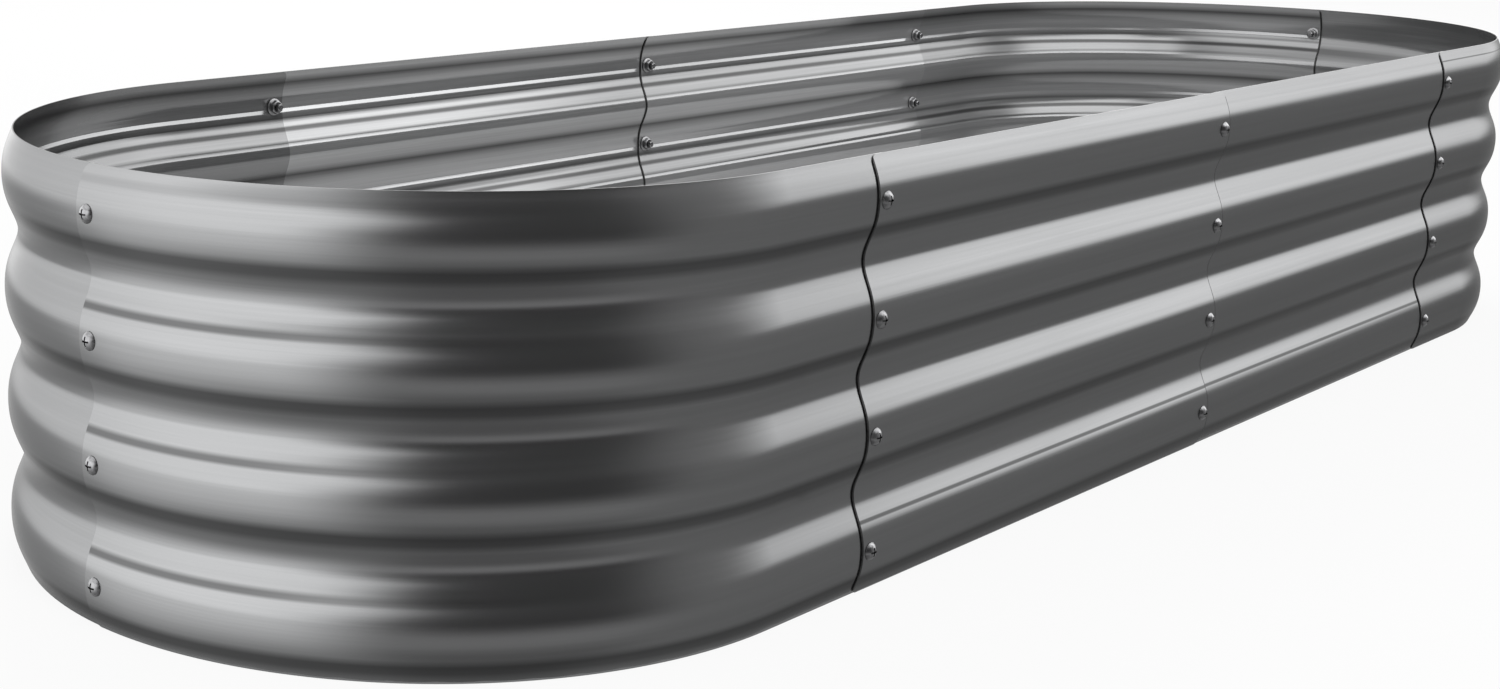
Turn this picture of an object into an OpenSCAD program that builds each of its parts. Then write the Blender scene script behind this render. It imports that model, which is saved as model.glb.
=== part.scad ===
// Oval raised garden bed, open at the top and the bottom.
// Four corner sheets and four straight sheets of corrugated steel lap each other at eight bolt
// lines, and each bolt line holds one bolt and one flange nut on every ridge.
// The origin is on the ground in the middle of the bed. The long sides lie along X, and Z is up.

/* [Plan] */
// Radius of the round ends, to the middle of the corrugation
end_r = 300; // [220:1:450]
// Distance between neighbouring bolt lines on a long side
side_run = 495; // [300:1:700]
// Straight stretch of a corner sheet, from its bolt line to the start of the round end
corner_run = 105; // [40:1:250]

/* [Corrugated sheet] */
// Thickness of the steel
sheet_t = 0.8; // [0.5:0.1:1.2]
// Distance from one ridge to the next
ridge_pitch = 80; // [64:1:100]
// Number of ridges
ridge_count = 4; // [2:1:6]
// Distance from the first and last ridge to the sheet's edge
rim_run = 30; // [24:1:40]
// Depth of the corrugation, from ridge to groove
wave_depth = 10; // [8:0.5:16]
// How much fuller the ridges are than the grooves, 0 for an even wave
ridge_fullness = 0.26; // [0:0.01:0.4]
// Overlap of two joined sheets
lap = 20; // [18:1:30]
// Radius of the sheet's four corners
corner_r = 6; // [3:0.5:9]
// Free space between two lapped sheets on the steepest part of the wave
lap_gap = 0.02; // [0.01:0.01:0.2]

/* [Bolt] */
// Diameter of the bolt's shank
bolt_d = 6; // [5:0.5:7]
// Length of the bolt under its head
bolt_len = 12; // [10:0.5:16]
// Chamfer on the bolt's tip
tip_chamfer = 0.7; // [0.4:0.1:1]
// Diameter of the domed head
head_d = 12.5; // [10:0.5:15]
// Height of the domed head
head_h = 3.4; // [2.5:0.1:4]
// Width across the cross recess
cross_span = 6.4; // [5:0.1:8]
// Width of each slot of the cross recess
cross_w = 1.2; // [0.8:0.1:1.6]
// Depth of the cross recess
cross_depth = 1.6; // [1:0.1:2.2]
// Free space between the head and the ridge that it clamps
head_gap = 0.05; // [0.02:0.01:0.2]

/* [Bolt hole] */
// Diameter of the hole in the sheets
hole_d = 7; // [6:0.5:9]

/* [Flange nut] */
// Width of the hexagon across its flats
nut_af = 10; // [8:0.5:13]
// Height of the whole nut
nut_h = 6; // [5:0.5:8]
// Diameter of the flange
flange_d = 14.2; // [12:0.1:18]
// Thickness of the flange at its edge
flange_t = 1.1; // [0.8:0.1:1.6]
// Rise of the flange from its edge to the hexagon
flange_rise = 1.1; // [0.6:0.1:2]
// Chamfer on the corners of the hexagon
nut_chamfer = 0.6; // [0.3:0.1:1]
// Free space round the bolt in the nut
thread_gap = 0.05; // [0.02:0.01:0.2]
// Free space between the flange's edge and the sheet
nut_gap = 0.08; // [0.02:0.01:0.2]

/* [Hidden] */
// Steps that draw one wave of the corrugation
wave_steps = 24;
// Steps that draw a full turn of a round end
turn_steps = 180;
// Steps that draw a full turn of a bolt or nut
small_steps = 48;
// How far a cut runs past what it cuts
cut_over = 1;

// Plan
straight_half = side_run + corner_run;
tab_x = side_run - lap / 2;
end_x = straight_half + end_r;

// Sheet
sheet_h = (ridge_count - 1) * ridge_pitch + 2 * rim_run;
rows = ceil(sheet_h / ridge_pitch * wave_steps);
ridge_heights = [for (k = [0 : ridge_count - 1]) rim_run + k * ridge_pitch];
steepest = max([for (i = [0 : wave_steps]) abs(wave_slope(i / wave_steps * ridge_pitch))]);
lap_step = sheet_t * sqrt(1 + pow(steepest, 2)) + lap_gap;
lap_turn = (lap / 2) / end_r * 180 / PI;
through = 3 * wave_depth;

// Fasteners
dome_r = (pow(head_d / 2, 2) + pow(head_h, 2)) / (2 * head_h);
nut_corner_r = nut_af / 2 / cos(30);
flange_seat = wave_depth / 2 - wave(rim_run + flange_d / 2);

// Each panel: its name, its shape, its sides along X and Y, and how many lap steps it lies outwards
panels = [
    ["corner_panel_rear_left", "corner", -1, 1, 0],
    ["corner_panel_front_left", "corner", -1, -1, 1],
    ["side_panel_front_left", "side", -1, -1, 2],
    ["side_panel_front_right", "side", 1, -1, 1],
    ["corner_panel_front_right", "corner", 1, -1, 2],
    ["corner_panel_rear_right", "corner", 1, 1, 1],
    ["side_panel_rear_right", "side", 1, 1, 0],
    ["side_panel_rear_left", "side", -1, 1, 1]
];

// Each bolt line: its name, its place in plan, the way it faces, and the lap steps of its outer sheet
bolt_lines = [
    ["left_end", [-end_x, 0], 180, 1],
    ["front_left", [-side_run, -end_r], 270, 2],
    ["front_middle", [0, -end_r], 270, 2],
    ["front_right", [side_run, -end_r], 270, 2],
    ["right_end", [end_x, 0], 0, 2],
    ["rear_right", [side_run, end_r], 90, 1],
    ["rear_middle", [0, end_r], 90, 1],
    ["rear_left", [-side_run, end_r], 90, 1]
];

// Where height z lies in its wave, as an angle from the ridge
function phase(z) = 360 * (z - rim_run) / ridge_pitch;

// How far the middle of the sheet stands out at height z, and how steeply that changes
function wave(z) =
    let (a = phase(z)) wave_depth / 2 * (cos(a) + ridge_fullness * pow(sin(a), 2));
function wave_slope(z) =
    let (a = phase(z)) -PI * wave_depth / ridge_pitch * sin(a) * (1 - 2 * ridge_fullness * cos(a));

// Half of the sheet's thickness as the plan sees it, wider where the wave is steep
function half_t(z) = sheet_t / 2 * sqrt(1 + pow(wave_slope(z), 2));

// One face of the sheet from the bottom edge up, on the outside for side = 1 and the inside for -1
function face_points(side) =
    [for (i = [0 : rows]) let (z = sheet_h * i / rows) [wave(z) + side * half_t(z), z]];

// Cross-section of a sheet that lies level lap steps outwards, at its distance from the middle
module sheet_profile(level) {
    inside = face_points(-1);
    translate([end_r + level * lap_step, 0])
        polygon(concat(face_points(1), [for (i = [rows : -1 : 0]) inside[i]]));
}

// A straight stretch of sheet on the side that faces +Y, from x0 to x1
module straight_sheet(level, x0, x1) {
    translate([x0, 0, 0])
        rotate([90, 0, 90])
            linear_extrude(height = x1 - x0)
                sheet_profile(level);
}

// The bolt holes of one bolt line, through the sheet along X
module hole_row() {
    for (z = ridge_heights)
        translate([0, 0, z])
            rotate([0, 90, 0])
                cylinder(d = hole_d, h = through, center = true, $fn = small_steps);
}

// What rounds off the top and bottom corners of a sheet's end, which lies at y = 0 and faces +Y
module corner_cuts() {
    reach = corner_r + cut_over;
    wide = through + 2 * cut_over;
    for (turn = [0, 1])
        translate([0, 0, turn * sheet_h])
            mirror([0, 0, turn])
                translate([0, -corner_r, corner_r])
                    difference() {
                        translate([-through / 2, 0, -reach])
                            cube([through, reach, reach]);
                        rotate([0, 90, 0])
                            cylinder(r = corner_r, h = wide, center = true, $fn = small_steps);
                    }
}

// Corner sheet between +X and +Y, a quarter round with a straight stretch along the long side
module corner_sheet(level) {
    difference() {
        union() {
            translate([straight_half, 0, 0])
                rotate([0, 0, -lap_turn])
                    rotate_extrude(angle = 90 + lap_turn, $fn = turn_steps)
                        sheet_profile(level);
            straight_sheet(level, tab_x, straight_half);
        }
        translate([end_x, 0, 0])
            hole_row();
        translate([side_run, end_r, 0])
            rotate([0, 0, 90])
                hole_row();
        translate([straight_half, 0, 0])
            rotate([0, 0, -lap_turn])
                translate([end_r, 0, 0])
                    mirror([0, 1, 0])
                        corner_cuts();
        translate([tab_x, end_r, 0])
            rotate([0, 0, 90])
                corner_cuts();
    }
}

// Straight sheet in the corner between +X and +Y
module side_sheet(level) {
    difference() {
        straight_sheet(level, -lap / 2, side_run + lap / 2);
        for (x = [0, side_run])
            translate([x, end_r, 0])
                rotate([0, 0, 90])
                    hole_row();
        translate([-lap / 2, end_r, 0])
            rotate([0, 0, 90])
                corner_cuts();
        translate([side_run + lap / 2, end_r, 0])
            rotate([0, 0, 90])
                mirror([0, 1, 0])
                    corner_cuts();
    }
}

module panel(p) {
    color(p[1] == "corner" ? "dimgray" : "slategray")
        mirror([p[2] < 0 ? 1 : 0, 0, 0])
            mirror([0, p[3] < 0 ? 1 : 0, 0])
                if (p[1] == "corner") corner_sheet(p[4]);
                else side_sheet(p[4]);
}

// Puts a piece that points along +Z on every ridge of a bolt line, facing outwards,
// with its own zero out from the middle of the corrugation
module on_ridges(line, out) {
    translate([line[1][0], line[1][1], 0])
        rotate([0, 0, line[2]])
            for (z = ridge_heights)
                translate([out, 0, z])
                    rotate([0, 90, 0])
                        children();
}

// Domed bolt with a cross recess, its head's underside at zero
module bolt() {
    shank_r = bolt_d / 2;
    difference() {
        rotate_extrude($fn = small_steps)
            union() {
                intersection() {
                    translate([0, head_h - dome_r])
                        circle(r = dome_r, $fn = small_steps);
                    square([head_d / 2, head_h]);
                }
                polygon([
                    [0, head_h / 2],
                    [shank_r, head_h / 2],
                    [shank_r, tip_chamfer - bolt_len],
                    [shank_r - tip_chamfer, -bolt_len],
                    [0, -bolt_len]
                ]);
            }
        for (turn = [0, 90])
            rotate([0, 0, turn])
                translate([-cross_span / 2, -cross_w / 2, head_h - cross_depth])
                    cube([cross_span, cross_w, cross_depth + cut_over]);
    }
}

// Hexagon nut with a round flange, the flange's face at zero and the nut below it
module nut() {
    difference() {
        union() {
            rotate_extrude($fn = small_steps)
                polygon([
                    [0, 0],
                    [flange_d / 2, 0],
                    [flange_d / 2, -flange_t],
                    [nut_af / 2, -flange_t - flange_rise],
                    [0, -flange_t - flange_rise]
                ]);
            intersection() {
                translate([0, 0, -nut_h])
                    cylinder(r = nut_corner_r, h = nut_h - flange_t / 2, $fn = 6);
                rotate_extrude($fn = small_steps)
                    polygon([
                        [0, 0],
                        [nut_corner_r + nut_chamfer, 0],
                        [nut_corner_r + nut_chamfer, nut_chamfer * 2 - nut_h],
                        [nut_corner_r - nut_chamfer * 2, -nut_h],
                        [0, -nut_h]
                    ]);
            }
        }
        translate([0, 0, -nut_h - cut_over])
            cylinder(d = bolt_d + 2 * thread_gap, h = nut_h + 2 * cut_over, $fn = small_steps);
    }
}

module bolts(line) {
    ridge_face = wave_depth / 2 + sheet_t / 2 + line[3] * lap_step;
    color("silver")
        on_ridges(line, ridge_face + head_gap)
            bolt();
}

module nuts(line) {
    ridge_face = wave_depth / 2 - sheet_t / 2 + (line[3] - 1) * lap_step;
    color("darkgray")
        on_ridges(line, ridge_face - flange_seat - nut_gap)
            nut();
}

for (p = panels)
    panel(p);
for (b = bolt_lines)
    bolts(b);
for (b = bolt_lines)
    nuts(b);
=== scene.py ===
import math

import bpy
import numpy as np
from mathutils import Matrix, Vector


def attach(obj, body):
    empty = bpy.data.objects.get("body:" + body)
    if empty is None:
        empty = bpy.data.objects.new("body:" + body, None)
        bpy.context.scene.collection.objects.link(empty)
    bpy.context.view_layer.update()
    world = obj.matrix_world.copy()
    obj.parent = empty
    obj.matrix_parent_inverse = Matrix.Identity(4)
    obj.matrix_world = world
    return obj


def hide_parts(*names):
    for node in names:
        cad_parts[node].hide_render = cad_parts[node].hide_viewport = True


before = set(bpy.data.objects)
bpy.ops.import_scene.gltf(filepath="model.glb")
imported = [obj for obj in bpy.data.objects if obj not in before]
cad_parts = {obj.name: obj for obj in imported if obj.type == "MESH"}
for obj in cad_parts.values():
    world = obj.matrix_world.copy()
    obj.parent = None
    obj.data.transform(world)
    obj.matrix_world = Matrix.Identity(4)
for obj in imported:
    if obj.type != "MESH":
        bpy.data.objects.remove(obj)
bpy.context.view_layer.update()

# Sizes of the sheets, as the CAD source has them, in metres
END_R = 0.300
SIDE_RUN = 0.495
CORNER_RUN = 0.105
SHEET_T = 0.0008
RIDGE_PITCH = 0.080
RIDGE_COUNT = 4
RIM_RUN = 0.030
WAVE_DEPTH = 0.010
RIDGE_FULLNESS = 0.26
LAP = 0.020
CORNER_R = 0.006
LAP_GAP = 0.00002

SHEET_H = (RIDGE_COUNT - 1) * RIDGE_PITCH + 2 * RIM_RUN
STRAIGHT_HALF = SIDE_RUN + CORNER_RUN
WAVE_TURN = 2 * math.pi / RIDGE_PITCH

# How finely the sheets are meshed
ROWS = 120
ARC_STEP = math.radians(1.5)
STRAIGHT_STEP = 0.035
CORNER_STEPS = 7
CORNER_RUN_POINTS = 5
SLOPE_SAMPLES = 25
MERGE_DIGITS = 7

# Each panel: its shape, its sides along X and Y, and how many lap steps it lies outwards
PANELS = {
    "corner_panel_rear_left": ("corner", -1, 1, 0),
    "corner_panel_front_left": ("corner", -1, -1, 1),
    "side_panel_front_left": ("side", -1, -1, 2),
    "side_panel_front_right": ("side", 1, -1, 1),
    "corner_panel_front_right": ("corner", 1, -1, 2),
    "corner_panel_rear_right": ("corner", 1, 1, 1),
    "side_panel_rear_right": ("side", 1, 1, 0),
    "side_panel_rear_left": ("side", -1, 1, 1),
}

# Panels whose ends show a painted shadow line beside the cut, standing in for the shade in the lap's gap:
# the line's width at the panel's start and at its end
LAP_SHADOWS = {
    "side_panel_front_left": (0.0006, 0.0014),
    "corner_panel_front_right": (0.0014, 0.0014),
    "side_panel_rear_right": (0.0014, 0.0),
    "corner_panel_rear_right": (0.0, 0.0014),
}
NO_LAP_SHADOWS = (0.0, 0.0)

# Material slots of a sheet. Its edge is rim where the Z of its normal is past this, and elsewhere a cut
# end, which shares the near black of the painted lap shadows
OUTSIDE, INSIDE, CUT_AND_LAP_SHADE, RIM = range(4)
RIM_FACING = 0.7


def wave(z):
    """How far the middle of a sheet's steel lies outwards at a height."""
    turn = WAVE_TURN * (z - RIM_RUN)
    return WAVE_DEPTH / 2 * (np.cos(turn) + RIDGE_FULLNESS * np.sin(turn) ** 2)


def wave_slope(z):
    """How steeply the wave moves outwards with height."""
    turn = WAVE_TURN * (z - RIM_RUN)
    return -WAVE_DEPTH / 2 * WAVE_TURN * np.sin(turn) * (1 - 2 * RIDGE_FULLNESS * np.cos(turn))


STEEPEST = float(np.abs(wave_slope(np.linspace(0, RIDGE_PITCH, SLOPE_SAMPLES))).max())
LAP_STEP = SHEET_T * math.sqrt(1 + STEEPEST**2) + LAP_GAP


def end_columns(length):
    """Distances along a sheet that resolve its rounded corners, at one end and at the other."""
    turn = np.linspace(0, math.pi / 2, CORNER_STEPS)
    near = CORNER_R * (1 - np.cos(turn))
    return near, length - near[::-1]


def trimmed(distance, length):
    """How far a sheet's rounded corner takes its edge in from the rim, by the distance along it."""
    to_end = np.minimum(distance, length - distance)
    cut = np.clip(CORNER_R - to_end, 0, CORNER_R)
    return CORNER_R - np.sqrt(CORNER_R**2 - cut**2)


def merged(*stretches):
    """The distances of several stretches in order, each of them once."""
    return np.unique(np.round(np.concatenate(stretches), MERGE_DIGITS))


def side_path():
    """Columns of a side sheet: distance along it, point on the bed's middle line, and outward angle."""
    start = -LAP / 2
    length = SIDE_RUN + LAP / 2 - start
    near, far = end_columns(length)
    count = max(2, int(length / STRAIGHT_STEP))
    distance = merged(near, far, np.linspace(0, length, count))
    x = start + distance
    return distance, np.stack([x, np.zeros_like(x)], 1), np.full_like(x, math.pi / 2)


def corner_path():
    """Columns of a corner sheet: its straight stretch, then its quarter round about the end's middle."""
    start = SIDE_RUN - LAP / 2
    run = STRAIGHT_HALF - start
    sweep = math.pi / 2 + (LAP / 2) / END_R
    near, far = end_columns(run + sweep * END_R)
    steps = int(round(sweep / ARC_STEP))
    straight = np.linspace(0, run, CORNER_RUN_POINTS)
    distance = merged(near, straight, run + END_R * np.linspace(0, sweep, steps + 1), far)
    angle = math.pi / 2 - np.clip(distance - run, 0, None) / END_R
    x = np.where(distance < run, start + distance, STRAIGHT_HALF)
    return distance, np.stack([x, np.zeros_like(x)], 1), angle


def sheet_face(foot, angle, z, level, side):
    """Points and exact normals of a sheet's outer face, for a side of 1, or inner face, for -1."""
    out = np.stack([np.cos(angle), np.sin(angle)], 1)[:, None]
    slope = wave_slope(z)
    half_thick = SHEET_T / 2 * np.sqrt(1 + slope**2)
    reach = END_R + level * LAP_STEP + wave(z) + side * half_thick
    points = np.empty(z.shape + (3,))
    points[..., :2] = foot[:, None] + out * reach[..., None]
    points[..., 2] = z
    normals = np.empty_like(points)
    normals[..., :2] = side * out
    normals[..., 2] = -side * slope
    normals /= np.linalg.norm(normals, axis=-1, keepdims=True)
    return points, normals


def edge_band(outer, inner, index):
    """The strip round a sheet's edge: its points, their normals, its faces and the faces' slots."""
    loop = np.concatenate([index[:, 0], index[-1, 1:], index[-2::-1, -1], index[0, -2:0:-1]])
    middle = (outer[loop] + inner[loop]) / 2
    ahead = np.roll(middle, -1, 0) - np.roll(middle, 1, 0)
    sideways = np.cross(ahead, outer[loop] - inner[loop])
    sideways /= np.linalg.norm(sideways, axis=1, keepdims=True)
    inward = middle.mean(0) - middle
    inward[:, 2] = SHEET_H / 2 - middle[:, 2]
    if np.median(np.sign((sideways * inward).sum(1))) > 0:
        sideways = -sideways
    count = len(loop)
    here = np.arange(count)
    after = (here + 1) % count
    faces = np.stack([here, after, after + count, here + count], 1)
    slots = np.where(np.abs(sideways[:, 2]) > RIM_FACING, RIM, CUT_AND_LAP_SHADE)
    points = np.concatenate([outer[loop], inner[loop]])
    return points, np.concatenate([sideways, sideways]), faces, slots


def smooth_mesh(name, parts):
    """A mesh joined from parts, each with its points, normals, faces and the faces' slots."""
    points, normals, faces, slots = zip(*parts)
    starts = np.cumsum([0] + [len(part) for part in points[:-1]])
    points, normals, slots = (np.concatenate(part) for part in (points, normals, slots))
    faces = np.concatenate([part + start for part, start in zip(faces, starts)])
    first, second, third = (points[faces[:, corner]] for corner in range(3))
    facing = np.cross(second - first, third - first)
    wrong = (facing * normals[faces].sum(1)).sum(1) < 0
    faces[wrong] = faces[wrong][:, ::-1]

    mesh = bpy.data.meshes.new(name)
    mesh.from_pydata(points.tolist(), [], faces.tolist())
    mesh.polygons.foreach_set("material_index", slots.astype(np.int32))
    mesh.polygons.foreach_set("use_smooth", np.ones(len(faces), bool))
    mesh.update()
    mesh.normals_split_custom_set_from_vertices(normals.tolist())
    return mesh


def sheet_mesh(name, shape, x_side, y_side, level, lap_shadows):
    """One corrugated sheet with its true thickness, rounded corners and exact normals."""
    distance, foot, angle = side_path() if shape == "side" else corner_path()
    length = distance[-1]
    trim = trimmed(distance, length)[:, None]
    z = trim + np.linspace(0, 1, ROWS + 1) * (SHEET_H - 2 * trim)
    mirror = np.array([x_side, y_side, 1.0])

    def face(side):
        return [grid.reshape(-1, 3) * mirror for grid in sheet_face(foot, angle, z, level, side)]

    outer, outer_normals = face(1)
    inner, inner_normals = face(-1)
    index = np.arange(z.size).reshape(z.shape)
    quads = np.stack([index[:-1, :-1], index[1:, :-1], index[1:, 1:], index[:-1, 1:]], -1).reshape(-1, 4)
    between_columns = (distance[:-1] + distance[1:]) / 2
    # Faces near the ends that take the painted lap shadow
    shadow_start, shadow_end = lap_shadows
    lap_shadow = np.repeat((between_columns < shadow_start) | (length - between_columns < shadow_end), ROWS)
    return smooth_mesh(name, [
        (outer, outer_normals, quads, np.where(lap_shadow, CUT_AND_LAP_SHADE, OUTSIDE)),
        (inner, inner_normals, quads[:, [0, 3, 2, 1]], np.where(lap_shadow, CUT_AND_LAP_SHADE, INSIDE)),
        edge_band(outer, inner, index),
    ])


def add_object(name, data):
    """A new object in the scene."""
    thing = bpy.data.objects.new(name, data)
    bpy.context.scene.collection.objects.link(thing)
    return thing


# Materials

WHITE = (1, 1, 1, 1)
EDGE_TINT = (0.6, 0.6, 0.6, 1)

# Noises: waves per metre along the bed and upright, detail, and roughness where it isn't the usual one
BROAD_STREAKS = (1.6, 90.0, 4.0)
FINE_STREAKS = (5.0, 900.0, 2.0)
CLOUDS = (3.0, 9.0, 3.0)
CUT_GRAIN = (700.0, 700.0, 4.0)
ZINC_MOTTLE = (420.0, 420.0, 4.0, 0.6)
ZINC_WEAR = (120.0, 120.0, 2.0)
NOISE_ROUGHNESS = 0.55
NOISE_RANGE = (0.3, 0.7)

# Rolled steel: dark and light grey, then how it is rolled, as least and greatest roughness, stretch of the
# gloss along the corrugation, and depth of the ripple in metres
OUTSIDE_GREYS = (0.196, 0.198, 0.200), (0.228, 0.230, 0.233)
INSIDE_GREYS = (0.21, 0.212, 0.215), (0.31, 0.312, 0.315)
OUTSIDE_ROLL = {"corner": (0.17, 0.22, 0.7, 0.00002), "side": (0.14, 0.19, 0.6, 0.00001)}
INSIDE_ROLL = {"corner": (0.15, 0.21, 0.7, 0.00005), "side": (0.11, 0.16, 0.6, 0.00006)}
BROAD_SHARE = 0.7
CLOUD_GLOSS = 0.02
GRAIN_LIFT = 0.00001

# Bare edges and zinc
CUT_ROUGHNESS = (0.35, 0.55)
WORN_ROUGHNESS = 0.12
ZINC_LIFT = 0.00003
# Painted shade on zinc, darker in recesses and at the sheet: its reach, samples and power
SHADE_REACH = 0.004
SHADE_SAMPLES = 8
SHADE_POWER = 2.2

# Painted shade and painted highlights in level lines along the wave: share of a ridge's pitch above the
# ridge, and brightness there. Below one is painted shade, above one a painted highlight
CORNER_SHADE_LINES = [(0.0, 1.0), (0.655, 1.0), (0.715, 0.55), (0.775, 0.45), (0.835, 1.0)]
OUTSIDE_SHADE_LINES = [
    (0.0, 1.0), (0.235, 1.0), (0.255, 0.93), (0.29, 0.96), (0.655, 1.0), (0.715, 0.55), (0.775, 0.45),
    (0.835, 1.0),
]
INSIDE_LIGHT_AND_SHADE_LINES = [
    (0.0, 1.1), (0.10, 1.05), (0.16, 0.8), (0.21, 0.5), (0.25, 0.2), (0.285, 0.6), (0.33, 1.0), (0.54, 1.0),
    (0.59, 0.95), (0.615, 0.45), (0.645, 0.85), (0.715, 0.85), (0.74, 0.2), (0.768, 0.2), (0.79, 0.9),
    (0.84, 0.95), (0.87, 0.45), (0.905, 0.9), (0.94, 1.15), (0.97, 1.1),
]
BRIGHTEST_LINE = 2.0
LINE_WANDER = 0.004

# Fine creases beside those lines on the inside: share of the pitch, and height towards the inside in metres
INSIDE_CREASES = [
    (0.0, -0.00015), (0.04, 0.0), (0.54, 0.0), (0.575, 0.00025), (0.605, -0.00025), (0.64, 0.0),
    (0.86, 0.0), (0.93, 0.00045), (0.97, -0.00035),
]
SOFT_CREASES = [(share, height / 2) for share, height in INSIDE_CREASES]
CREASE_REACH = 0.0005

# Single painted shade lines, by height and half width: over the lowest ridge, and just under the rim
LOW_SHADE_LINE = (0.0508, 0.0016)
RIM_SHADE_LINE = (0.291, 0.0008)
SINGLE_LINE_BRIGHTNESS = 0.35

# The painted dark line over each ridge of a corner sheet, a painted reflection of a dark edge, which fades
# towards the sides and is faint over the top ridge
UPPER_LINE = [(0.0, 0.0), (0.225, 0.0), (0.25, 1.0), (0.28, 1.0), (0.315, 0.0)]
UPPER_LINE_DEPTH = 0.62
UPPER_LINE_FADE = (0.29, 0.10)
UPPER_LINE_TOP_SHARE = 0.25
TOP_RIDGE_Z = SHEET_H - RIM_RUN
TOP_RIDGE_FADE = 0.010


class Nodes:
    """Small helper that adds shader nodes and links them."""

    def __init__(self, owner):
        owner.use_nodes = True
        self.tree = owner.node_tree
        self.tree.nodes.clear()

    def add(self, kind, inputs=(), **props):
        node = self.tree.nodes.new(kind)
        for key, value in props.items():
            setattr(node, key, value)
        for key, value in dict(inputs).items():
            socket = node.inputs[key]
            if isinstance(value, bpy.types.NodeSocket):
                self.tree.links.new(value, socket)
            else:
                socket.default_value = value
        return node


def new_material(name):
    """A new material and the helper for its nodes."""
    material = bpy.data.materials.new(name)
    return material, Nodes(material)


def place(n):
    """The shaded point in the object's own frame, which is the bed's."""
    return n.add("ShaderNodeTexCoord").outputs["Object"]


def place_xyz(n):
    """The same point's X, Y and Z."""
    return n.add("ShaderNodeSeparateXYZ", {0: place(n)}).outputs


def noise(n, along, upright, detail, rough=NOISE_ROUGHNESS):
    """Noise by its waves per metre along the bed and upright: level streaks where it has more upright."""
    vector = n.add("ShaderNodeMapping", {"Vector": place(n), "Scale": (along, along, upright)}).outputs[0]
    node = n.add("ShaderNodeTexNoise", {
        "Vector": vector, "Scale": 1.0, "Detail": detail, "Roughness": rough,
    })
    return node.outputs["Fac"]


def remap(n, value, low, high, start=0.0, end=1.0):
    """Low where the value is at its start and high where it is at its end."""
    node = n.add("ShaderNodeMapRange", {
        "Value": value, "From Min": start, "From Max": end, "To Min": low, "To Max": high,
    })
    return node.outputs["Result"]


def ease(n, value, start, end):
    """Nought before start and one past end, or the other way round, with a smooth step between."""
    node = n.add("ShaderNodeMapRange", {"Value": value, "From Min": start, "From Max": end},
                 interpolation_type="SMOOTHSTEP")
    return node.outputs["Result"]


def maths(n, kind, *values):
    """One Math node of the given kind."""
    return n.add("ShaderNodeMath", dict(enumerate(values)), operation=kind).outputs[0]


def product(n, first, *others):
    """The product of two or more values."""
    for other in others:
        first = maths(n, "MULTIPLY", first, other)
    return first


def within(n, value, rise, fall):
    """One inside a range and nought outside it, with a soft edge where it starts and where it ends."""
    return product(n, ease(n, value, *rise), ease(n, value, *fall))


def shaded(n, colour, factor):
    """A colour times a factor."""
    return n.add("ShaderNodeVectorMath", {0: colour, 1: factor}, operation="MULTIPLY").outputs[0]


def colour_ramp(n, value, dark, light):
    """A colour between dark and light, by where a noise lies in its usual range."""
    ramp = n.add("ShaderNodeValToRGB", {"Fac": value})
    for element, colour, position in zip(ramp.color_ramp.elements, (dark, light), NOISE_RANGE):
        element.color = (*colour, 1)
        element.position = position
    return ramp.outputs["Color"]


def by_wave(n, stops, low, high, wander=None):
    """A value by the place on the wave, from stops of share above the ridge and value."""
    turn = maths(n, "MULTIPLY_ADD", place_xyz(n)["Z"], 1 / RIDGE_PITCH, 1 - RIM_RUN / RIDGE_PITCH)
    if wander is not None:
        turn = maths(n, "ADD", turn, remap(n, wander, -LINE_WANDER, LINE_WANDER, *NOISE_RANGE))
    ramp = n.add("ShaderNodeValToRGB", {"Fac": maths(n, "FRACT", turn)})
    elements = ramp.color_ramp.elements
    greys = [(position, (*((value - low) / (high - low),) * 3, 1)) for position, value in stops]
    elements[0].position, elements[1].position = 0.0, 1.0
    elements[0].color = elements[1].color = greys[0][1]
    for position, grey in greys[1:]:
        elements.new(position).color = grey
    return maths(n, "MULTIPLY_ADD", ramp.outputs["Color"], high - low, low)


def bump(n, height, distance, under=None):
    """Relief from a height, on top of the relief under it."""
    inputs = {"Height": height, "Strength": 1.0, "Distance": distance}
    if under is not None:
        inputs["Normal"] = under
    return n.add("ShaderNodeBump", inputs).outputs[0]


def mixed(n, share, low, high):
    """One shader where the share is nought and another where it is one."""
    return n.add("ShaderNodeMixShader", {0: share, 1: low, 2: high}).outputs[0]


def level_line(n, at, half):
    """Brightness by height, with one painted dark line of shade."""
    away = maths(n, "ABSOLUTE", maths(n, "SUBTRACT", place_xyz(n)["Z"], at))
    return remap(n, away, SINGLE_LINE_BRIGHTNESS, 1.0, half / 2, half)


def low_line(n):
    """Brightness of a side sheet, with the painted shade line over its lowest ridge."""
    return level_line(n, *LOW_SHADE_LINE)


def rim_line(n):
    """Brightness of a corner sheet, with the thin painted shade line just under its rim."""
    return level_line(n, *RIM_SHADE_LINE)


def upper_line(n):
    """Brightness of a corner sheet with the painted dark line over its ridges, a painted reflection, which
    fades towards the sides.
    """
    _, y, z = place_xyz(n)
    fade = ease(n, maths(n, "ABSOLUTE", y), *UPPER_LINE_FADE)
    below_top = ease(n, z, TOP_RIDGE_Z, TOP_RIDGE_Z - TOP_RIDGE_FADE)
    strength = remap(n, below_top, UPPER_LINE_TOP_SHARE, 1.0)
    line = product(n, by_wave(n, UPPER_LINE, 0.0, 1.0), fade, strength)
    return maths(n, "MULTIPLY_ADD", line, -UPPER_LINE_DEPTH, 1.0)


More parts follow.
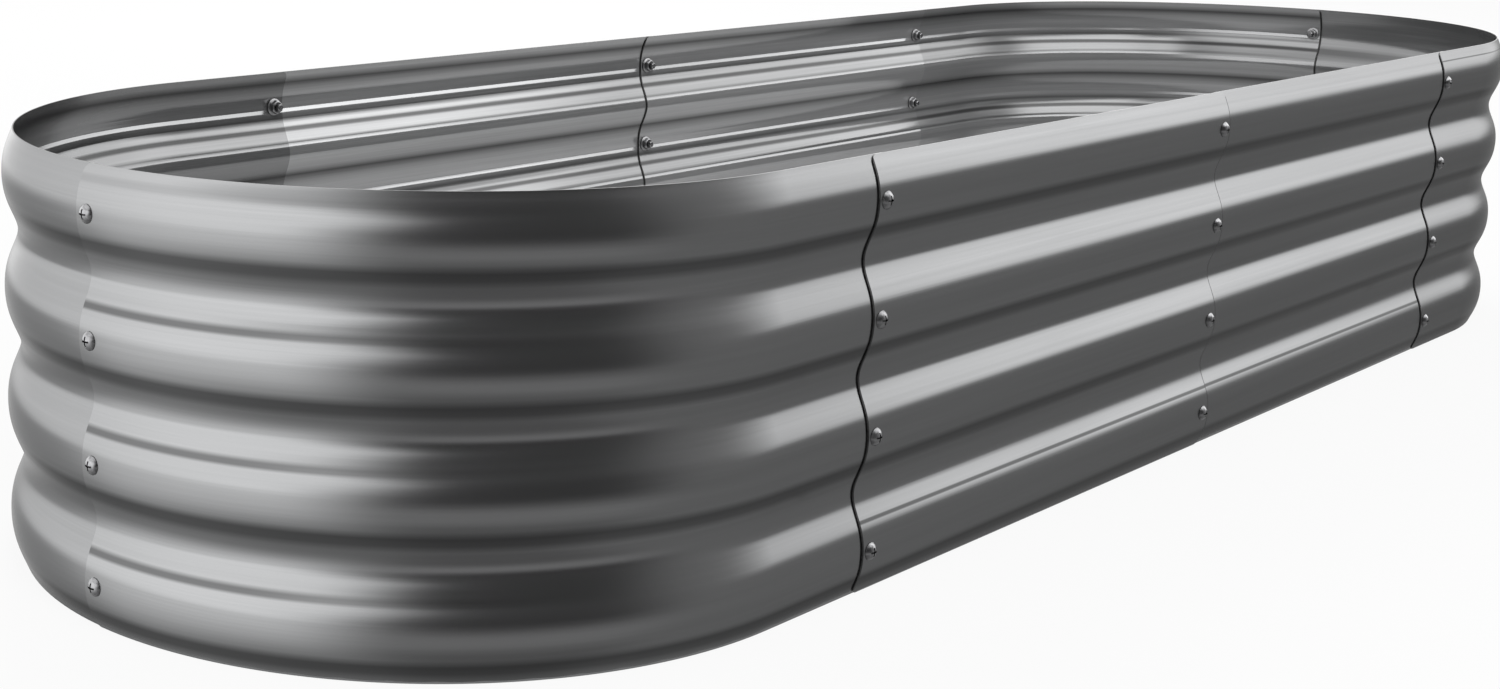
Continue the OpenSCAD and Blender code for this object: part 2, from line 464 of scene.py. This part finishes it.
def rolled_steel(name, greys, roll, lines, metal=1.0, extra=None, creases=None):
    """Dark coated steel with level rolling streaks in its colour, gloss and relief, and painted light and
    shade lines by its wave.
    """
    smooth, rough, gloss_stretch, ripple = roll
    material, n = new_material(name)
    broad = noise(n, *BROAD_STREAKS)
    fine = noise(n, *FINE_STREAKS)
    cloud = noise(n, *CLOUDS)
    streaks = maths(n, "MULTIPLY_ADD", broad, BROAD_SHARE, remap(n, fine, 0.0, 1 - BROAD_SHARE))
    # Painted light and shade: brightness by the place on the wave, times any painted line of the sheet
    brightness = by_wave(n, lines, 0.0, BRIGHTEST_LINE, broad)
    if extra:
        brightness = product(n, brightness, extra(n))
    gloss = remap(n, broad, smooth, rough, *NOISE_RANGE)
    gloss = maths(n, "ADD", gloss, remap(n, cloud, -CLOUD_GLOSS, CLOUD_GLOSS, *NOISE_RANGE))
    relief = bump(n, broad, ripple, bump(n, fine, GRAIN_LIFT))
    if creases:
        relief = bump(n, by_wave(n, creases, -CREASE_REACH, CREASE_REACH), 1.0, relief)
    tangent = n.add("ShaderNodeTangent", direction_type="RADIAL", axis="Z")
    shader = n.add("ShaderNodeBsdfPrincipled", {
        "Base Color": shaded(n, colour_ramp(n, streaks, *greys), brightness),
        "Metallic": metal, "Roughness": gloss, "Specular Tint": EDGE_TINT,
        "Anisotropic": gloss_stretch, "Tangent": tangent.outputs[0], "Normal": relief,
    })
    n.add("ShaderNodeOutputMaterial", {"Surface": shader.outputs[0]})
    return material


def cut_edge(name, dark, light):
    """Bare edge of a sheet: rougher and duller than its faces."""
    material, n = new_material(name)
    grain = noise(n, *CUT_GRAIN)
    shader = n.add("ShaderNodeBsdfPrincipled", {
        "Base Color": colour_ramp(n, grain, (dark,) * 3, (light,) * 3),
        "Metallic": 1.0, "Roughness": remap(n, grain, *CUT_ROUGHNESS),
    })
    n.add("ShaderNodeOutputMaterial", {"Surface": shader.outputs[0]})
    return material


def zinc(name, dark, light, rough):
    """Zinc-plated fastener with a fine mottled grain, and painted shade that darkens its recesses and where
    it meets the sheet.
    """
    material, n = new_material(name)
    mottle = noise(n, *ZINC_MOTTLE)
    worn = noise(n, *ZINC_WEAR)
    colour = colour_ramp(n, mottle, dark, light)
    # Painted shade: the colour darkened by ambient occlusion
    shade_ao = n.add("ShaderNodeAmbientOcclusion", {"Color": colour, "Distance": SHADE_REACH},
                   samples=SHADE_SAMPLES)
    shade = maths(n, "POWER", shade_ao.outputs["AO"], SHADE_POWER)
    shader = n.add("ShaderNodeBsdfPrincipled", {
        "Base Color": shaded(n, colour, shade), "Metallic": 1.0,
        "Roughness": remap(n, worn, rough, rough + WORN_ROUGHNESS, *NOISE_RANGE),
        "Normal": bump(n, mottle, ZINC_LIFT),
    })
    n.add("ShaderNodeOutputMaterial", {"Surface": shader.outputs[0]})
    return material


def toned(greys, tone):
    """A dark and a light grey, both times a tone."""
    return [tuple(tone * channel for channel in grey) for grey in greys]


# Each sheet's own grey: outside, inside, and how metallic the inside's coat is. The outside tones differ
# from sheet to sheet. The inside tones are also painted light and shade, lighter or darker by how much
# light each sheet's inside shows
TONES = {
    "corner_panel_rear_left": (0.88, 0.80, 0.7),
    "corner_panel_front_left": (1.0, 1.0, 0.7),
    "side_panel_front_left": (1.0, 1.0, 0.7),
    "side_panel_front_right": (0.98, 1.0, 0.7),
    "corner_panel_front_right": (0.94, 0.80, 0.45),
    "corner_panel_rear_right": (1.0, 1.10, 0.45),
    "side_panel_rear_right": (0.97, 1.35, 0.5),
    "side_panel_rear_left": (1.0, 1.25, 0.6),
}

# Painted shade lines of single sheets: outside, and inside where the painted lines or the creases aren't
# the usual ones
OUTSIDE_EXTRAS = {"corner_panel_front_left": upper_line, "corner_panel_front_right": rim_line}
INSIDE_MARKS = {
    "corner_panel_front_right": (CORNER_SHADE_LINES, None),
    "corner_panel_rear_right": (INSIDE_LIGHT_AND_SHADE_LINES, SOFT_CREASES),
}
USUAL_MARKS = (INSIDE_LIGHT_AND_SHADE_LINES, INSIDE_CREASES)


def outside_look(name, panel, shape):
    """The steel of one sheet's outside."""
    tone, _, _ = TONES[panel]
    lines, extra = OUTSIDE_SHADE_LINES, low_line
    if shape == "corner":
        lines, extra = CORNER_SHADE_LINES, OUTSIDE_EXTRAS.get(panel)
    return rolled_steel(name, toned(OUTSIDE_GREYS, tone), OUTSIDE_ROLL[shape], lines, extra=extra)


def inside_look(name, panel, shape):
    """The steel of one sheet's inside."""
    _, tone, metal = TONES[panel]
    lines, creases = INSIDE_MARKS.get(panel, USUAL_MARKS)
    return rolled_steel(name, toned(INSIDE_GREYS, tone), INSIDE_ROLL[shape], lines, metal, creases=creases)


# Cut ends and lap shadows are painted near black: painted shade for the lap's gap
cut_and_lap_shade_look = cut_edge("sheet_cut_painted_shade", dark=0.015, light=0.045)
rim_look = cut_edge("sheet_rim", dark=0.10, light=0.24)
bolt_look = zinc("bolt_zinc", dark=(0.17, 0.17, 0.175), light=(0.26, 0.26, 0.265), rough=0.20)
nut_look = zinc("nut_zinc", dark=(0.23, 0.23, 0.235), light=(0.33, 0.33, 0.335), rough=0.28)

# Sheets, in place of the CAD panels

for node_name, (shape, x_side, y_side, level) in PANELS.items():
    name = node_name.replace("panel", "sheet")
    lap_shadows = LAP_SHADOWS.get(node_name, NO_LAP_SHADOWS)
    piece = add_object(name, sheet_mesh(name, shape, x_side, y_side, level, lap_shadows))
    outside = outside_look(name + "_outside", node_name, shape)
    inside = inside_look(name + "_inside", node_name, shape)
    for look in (outside, inside, cut_and_lap_shade_look, rim_look):
        piece.data.materials.append(look)
    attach(piece, "root")
    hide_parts(node_name)

# Bolts and nuts keep their CAD solids

for node_name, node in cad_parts.items():
    if node_name not in PANELS:
        for slot in node.material_slots:
            slot.material = bolt_look if node_name.startswith("bolts_") else nut_look

# Light: an even one on the object, and a studio that only mirrors show. A soft edge there is given by where
# it starts and where it ends: as a bearing in degrees from +X towards +Y, or as a height from -1, straight
# down, to 1, straight up

AMBIENT = 0.5
STUDIO_LEVEL = 1.15
HORIZON = (-0.17, -0.07)
HIGH_SHARE = 0.5

# Walls all round, which are dark in front, apart from a light strip low down
WALL_LOW, WALL_HIGH = 0.385, 0.40
FRONT_BEARINGS = (-165.0, -135.0), (-65.0, -92.0)
FRONT_LOW, FRONT_STRIP, FRONT_HIGH = 0.13, 0.48, 0.11
STRIP_EDGE = (-0.12, -0.38)
STRIP_FOOT = (-0.42, -0.70)
STRIP_FOOT_SHARE = 0.55

# The bright left, which ends in a point at one height and is dimmer below the horizon and high up
LEFT_LIGHT = 2.0
LEFT_START = (50.0, 70.0)
LEFT_END = (229.0, 197.0)
LEFT_POINT_Z = 0.28
LEFT_POINT_REACH = 0.30
LEFT_POINT_TAPER = 45.0
LEFT_LOW_BEARINGS = (112.0, 135.0)
LEFT_LOW_SHARES = (0.30, 0.70)
LEFT_DEPTH = (-0.95, -0.15)
LEFT_TOP = (0.42, 0.56)
LEFT_FULL_BEARINGS = (120.0, 160.0)
LEFT_EARLY_SHARE = 0.85

# The bright right, above the horizon only and dimmer high up
RIGHT_LIGHT = 2.25
RIGHT_BEARINGS = (-55.0, -25.0), (60.0, 40.0)
RIGHT_FOOT = (0.0, 0.10)
RIGHT_TOP = (0.50, 0.65)

# The ceiling, and a light high up in front of the right end
TOP_LIGHT = 0.6
TOP_EDGE = (0.60, 0.70)
OVER_LIGHT = 1.8
OVER_BEARINGS = (-85.0, -65.0), (-40.0, -60.0)
OVER_HEIGHTS = (0.52, 0.60), (0.80, 0.70)


def plain_walls(n, bearing, z, above):
    """Brightness of the walls, with the dark front and its strip."""
    front = within(n, bearing, *FRONT_BEARINGS)
    strip = remap(n, ease(n, z, *STRIP_EDGE), FRONT_LOW, FRONT_STRIP)
    strip = product(n, strip, remap(n, ease(n, z, *STRIP_FOOT), 1.0, STRIP_FOOT_SHARE))
    low = remap(n, front, WALL_LOW, strip)
    high = remap(n, front, WALL_HIGH, FRONT_HIGH)
    return remap(n, above, low, high)


def bright_left(n, turn, z, above):
    """Share of the left's light, by bearing from 0 to 360 degrees and by height."""
    off_point = maths(n, "ABSOLUTE", maths(n, "SUBTRACT", z, LEFT_POINT_Z))
    off_point = maths(n, "MINIMUM", off_point, LEFT_POINT_REACH)
    drawn_in = maths(n, "MULTIPLY_ADD", off_point, LEFT_POINT_TAPER, turn)
    low = remap(n, ease(n, turn, *LEFT_LOW_BEARINGS), *LEFT_LOW_SHARES)
    low = product(n, low, ease(n, z, *LEFT_DEPTH))
    high = remap(n, ease(n, z, *LEFT_TOP), 1.0, HIGH_SHARE)
    full = remap(n, ease(n, turn, *LEFT_FULL_BEARINGS), LEFT_EARLY_SHARE, 1.0)
    share = product(n, ease(n, turn, *LEFT_START), ease(n, drawn_in, *LEFT_END))
    return product(n, share, remap(n, above, low, high), full)


def bright_right(n, bearing, z):
    """Share of the right's light."""
    high = remap(n, ease(n, z, *RIGHT_TOP), 1.0, HIGH_SHARE)
    return product(n, within(n, bearing, *RIGHT_BEARINGS), ease(n, z, *RIGHT_FOOT), high)


def studio_walls(n):
    """Brightness of the studio in each direction."""
    way = n.add("ShaderNodeTexCoord").outputs["Generated"]
    x, y, z = n.add("ShaderNodeSeparateXYZ", {0: way}).outputs
    bearing = maths(n, "DEGREES", maths(n, "ARCTAN2", y, x))
    turn = maths(n, "WRAP", bearing, 360.0, 0.0)
    above = ease(n, z, *HORIZON)
    over = product(n, within(n, bearing, *OVER_BEARINGS), within(n, z, *OVER_HEIGHTS))
    lights = [
        (bright_left(n, turn, z, above), LEFT_LIGHT),
        (bright_right(n, bearing, z), RIGHT_LIGHT),
        (ease(n, z, *TOP_EDGE), TOP_LIGHT),
        (over, OVER_LIGHT),
    ]
    level = plain_walls(n, bearing, z, above)
    for share, brightness in lights:
        level = maths(n, "MULTIPLY_ADD", share, brightness, level)
    return product(n, level, STUDIO_LEVEL)


def ray_shares(n):
    """One for rays that see a thing plainly or through glass, and one for rays that see it mirrored."""
    path = n.add("ShaderNodeLightPath").outputs
    plain = maths(n, "MAXIMUM", path["Is Camera Ray"], path["Is Transmission Ray"])
    return plain, path["Is Glossy Ray"]


def make_world():
    """Even light on the object, the studio in mirrors, and white behind the object."""
    world = bpy.data.worlds.new("studio")
    bpy.context.scene.world = world
    n = Nodes(world)
    plain, mirrored = ray_shares(n)
    lit, walls, seen = (
        n.add("ShaderNodeBackground", {"Color": WHITE, "Strength": strength}).outputs[0]
        for strength in (AMBIENT, studio_walls(n), 1.0)
    )
    surface = mixed(n, plain, mixed(n, mirrored, lit, walls), seen)
    n.add("ShaderNodeOutputWorld", {"Surface": surface})
    world.cycles.sampling_method = "NONE"


# Floor

FLOOR_REACH = 14.0
FLOOR_DROP = 0.0003
FLOOR_COLOUR = (0.9, 0.9, 0.9, 1)
FLOOR_GLOW_SEEN = 0.9
FLOOR_GLOW_MIRRORED = 0.5
HALF_ROUND_POINTS = 33


def floor_look(name):
    """Matt white that also glows for the rays that see it, so that it stays white and keeps a shadow."""
    material, n = new_material(name)
    diffuse = n.add("ShaderNodeBsdfDiffuse", {"Color": FLOOR_COLOUR})
    glow = n.add("ShaderNodeEmission", {"Color": WHITE, "Strength": 1.0})
    plain, mirrored = ray_shares(n)
    plain = product(n, plain, FLOOR_GLOW_SEEN)
    share = maths(n, "MAXIMUM", plain, product(n, mirrored, FLOOR_GLOW_MIRRORED))
    surface = mixed(n, share, diffuse.outputs[0], glow.outputs[0])
    n.add("ShaderNodeOutputMaterial", {"Surface": surface})
    return material


def ground(name, outline, z, look, mirrored):
    """A flat piece of floor."""
    mesh = bpy.data.meshes.new(name)
    mesh.from_pydata([(x, y, z) for x, y in outline], [], [tuple(range(len(outline)))])
    mesh.materials.append(look)
    piece = add_object(name, mesh)
    piece.visible_glossy = mirrored


def bed_outline():
    """The bed's outline along the middle of its steel."""
    turn = np.linspace(-math.pi / 2, math.pi / 2, HALF_ROUND_POINTS)
    half = np.stack([STRAIGHT_HALF + END_R * np.cos(turn), END_R * np.sin(turn)], 1)
    return np.concatenate([half, -half]).tolist()


def make_floor():
    """A wide floor that mirrors don't show, and a piece of it inside the bed that they do."""
    look = floor_look("floor_pale")
    far = FLOOR_REACH
    ground("floor", [(-far, -far), (far, -far), (far, far), (-far, far)], -FLOOR_DROP, look, False)
    ground("floor_in_bed", bed_outline(), -FLOOR_DROP / 2, look, True)


# Lamps and cards. A softbox is given by the place of its centre, and a card by its lowest and highest X and
# Z, its place along Y and the width of its soft edge

SOFTBOXES = {"softbox_front": (-2.2, -3.4, 3.6), "softbox_rear": (2.6, 3.2, 3.6)}
SOFTBOX_AIM = (0.0, 0.0, 0.1)
SOFTBOX_SIDE = 3.0
SOFTBOX_RADIANCE = 4.2
CARDS = {
    "card_front": ((0.02, 0.57), (1.30, 1.45), -0.80, 0.12),
    "card_high": ((-0.62, 0.86), (0.10, 1.80), -0.82, 0.18),
}
CARD_GLOW = 3.6


def softbox(name, centre):
    """A square lamp that lights the object without showing in it."""
    data = bpy.data.lights.new(name, "AREA")
    data.shape = "SQUARE"
    data.size = SOFTBOX_SIDE
    data.energy = SOFTBOX_RADIANCE * math.pi * SOFTBOX_SIDE**2
    lamp = add_object(name, data)
    lamp.location = centre
    lamp.rotation_mode = "QUATERNION"
    lamp.rotation_quaternion = (Vector(SOFTBOX_AIM) - Vector(centre)).to_track_quat("-Z", "Y")
    lamp.visible_camera = False
    lamp.visible_glossy = False


def mirrored_card(name, low, high, y, fade):
    """A glowing card beside the bed that only mirrors show, with soft edges."""
    (x0, z0), (x1, z1) = low, high
    material, n = new_material(name)
    x, _, z = place_xyz(n)
    across = within(n, x, (x0, x0 + fade), (x1, x1 - fade))
    upright = within(n, z, (z0, z0 + fade), (z1, z1 - fade))
    clear = n.add("ShaderNodeBsdfTransparent")
    glow = n.add("ShaderNodeEmission", {"Color": WHITE, "Strength": CARD_GLOW})
    surface = mixed(n, product(n, across, upright), clear.outputs[0], glow.outputs[0])
    n.add("ShaderNodeOutputMaterial", {"Surface": surface})
    mesh = bpy.data.meshes.new(name)
    mesh.from_pydata([(x0, y, z0), (x1, y, z0), (x1, y, z1), (x0, y, z1)], [], [(0, 1, 2, 3)])
    mesh.materials.append(material)
    card = add_object(name, mesh)
    card.visible_camera = False
    card.visible_diffuse = False
    card.visible_shadow = False
    card.visible_transmission = False


make_world()
make_floor()
for card_name, card_place in CARDS.items():
    mirrored_card(card_name, *card_place)
for softbox_name, softbox_centre in SOFTBOXES.items():
    softbox(softbox_name, softbox_centre)

# Camera, as fitted to the photograph's outline and bolt lines: its frame, axis and focal length are in the
# photograph's pixels, its place in metres and its angles in radians

PHOTO_W, PHOTO_H = 1500, 689
AXIS_X, AXIS_Y = 494.62, 230.0
FOCAL = 2127.81
CAMERA_AT = (-1.66387, -1.05969, 0.50699)
YAW, PITCH, ROLL = 0.75711, 0.18830, 0.01370
SENSOR_MM = 36.0


def make_camera():
    """The photograph's camera, whose axis misses the middle of its frame."""
    flat = math.cos(PITCH)
    ahead = Vector((math.cos(YAW) * flat, math.sin(YAW) * flat, -math.sin(PITCH)))
    right = Vector((math.sin(YAW), -math.cos(YAW), 0))
    up = right.cross(ahead)
    x = right * math.cos(ROLL) + up * math.sin(ROLL)
    y = up * math.cos(ROLL) - right * math.sin(ROLL)
    turn = Matrix((x, y, -ahead)).transposed()
    data = bpy.data.cameras.new("camera")
    data.sensor_width = SENSOR_MM
    data.sensor_fit = "HORIZONTAL"
    data.lens = FOCAL * SENSOR_MM / PHOTO_W
    data.shift_x = (PHOTO_W / 2 - AXIS_X) / PHOTO_W
    data.shift_y = (AXIS_Y - PHOTO_H / 2) / PHOTO_W
    camera = add_object("camera", data)
    camera.matrix_world = Matrix.Translation(CAMERA_AT) @ turn.to_4x4()
    bpy.context.scene.camera = camera


make_camera()
bpy.context.scene.view_settings.view_transform = "Standard"
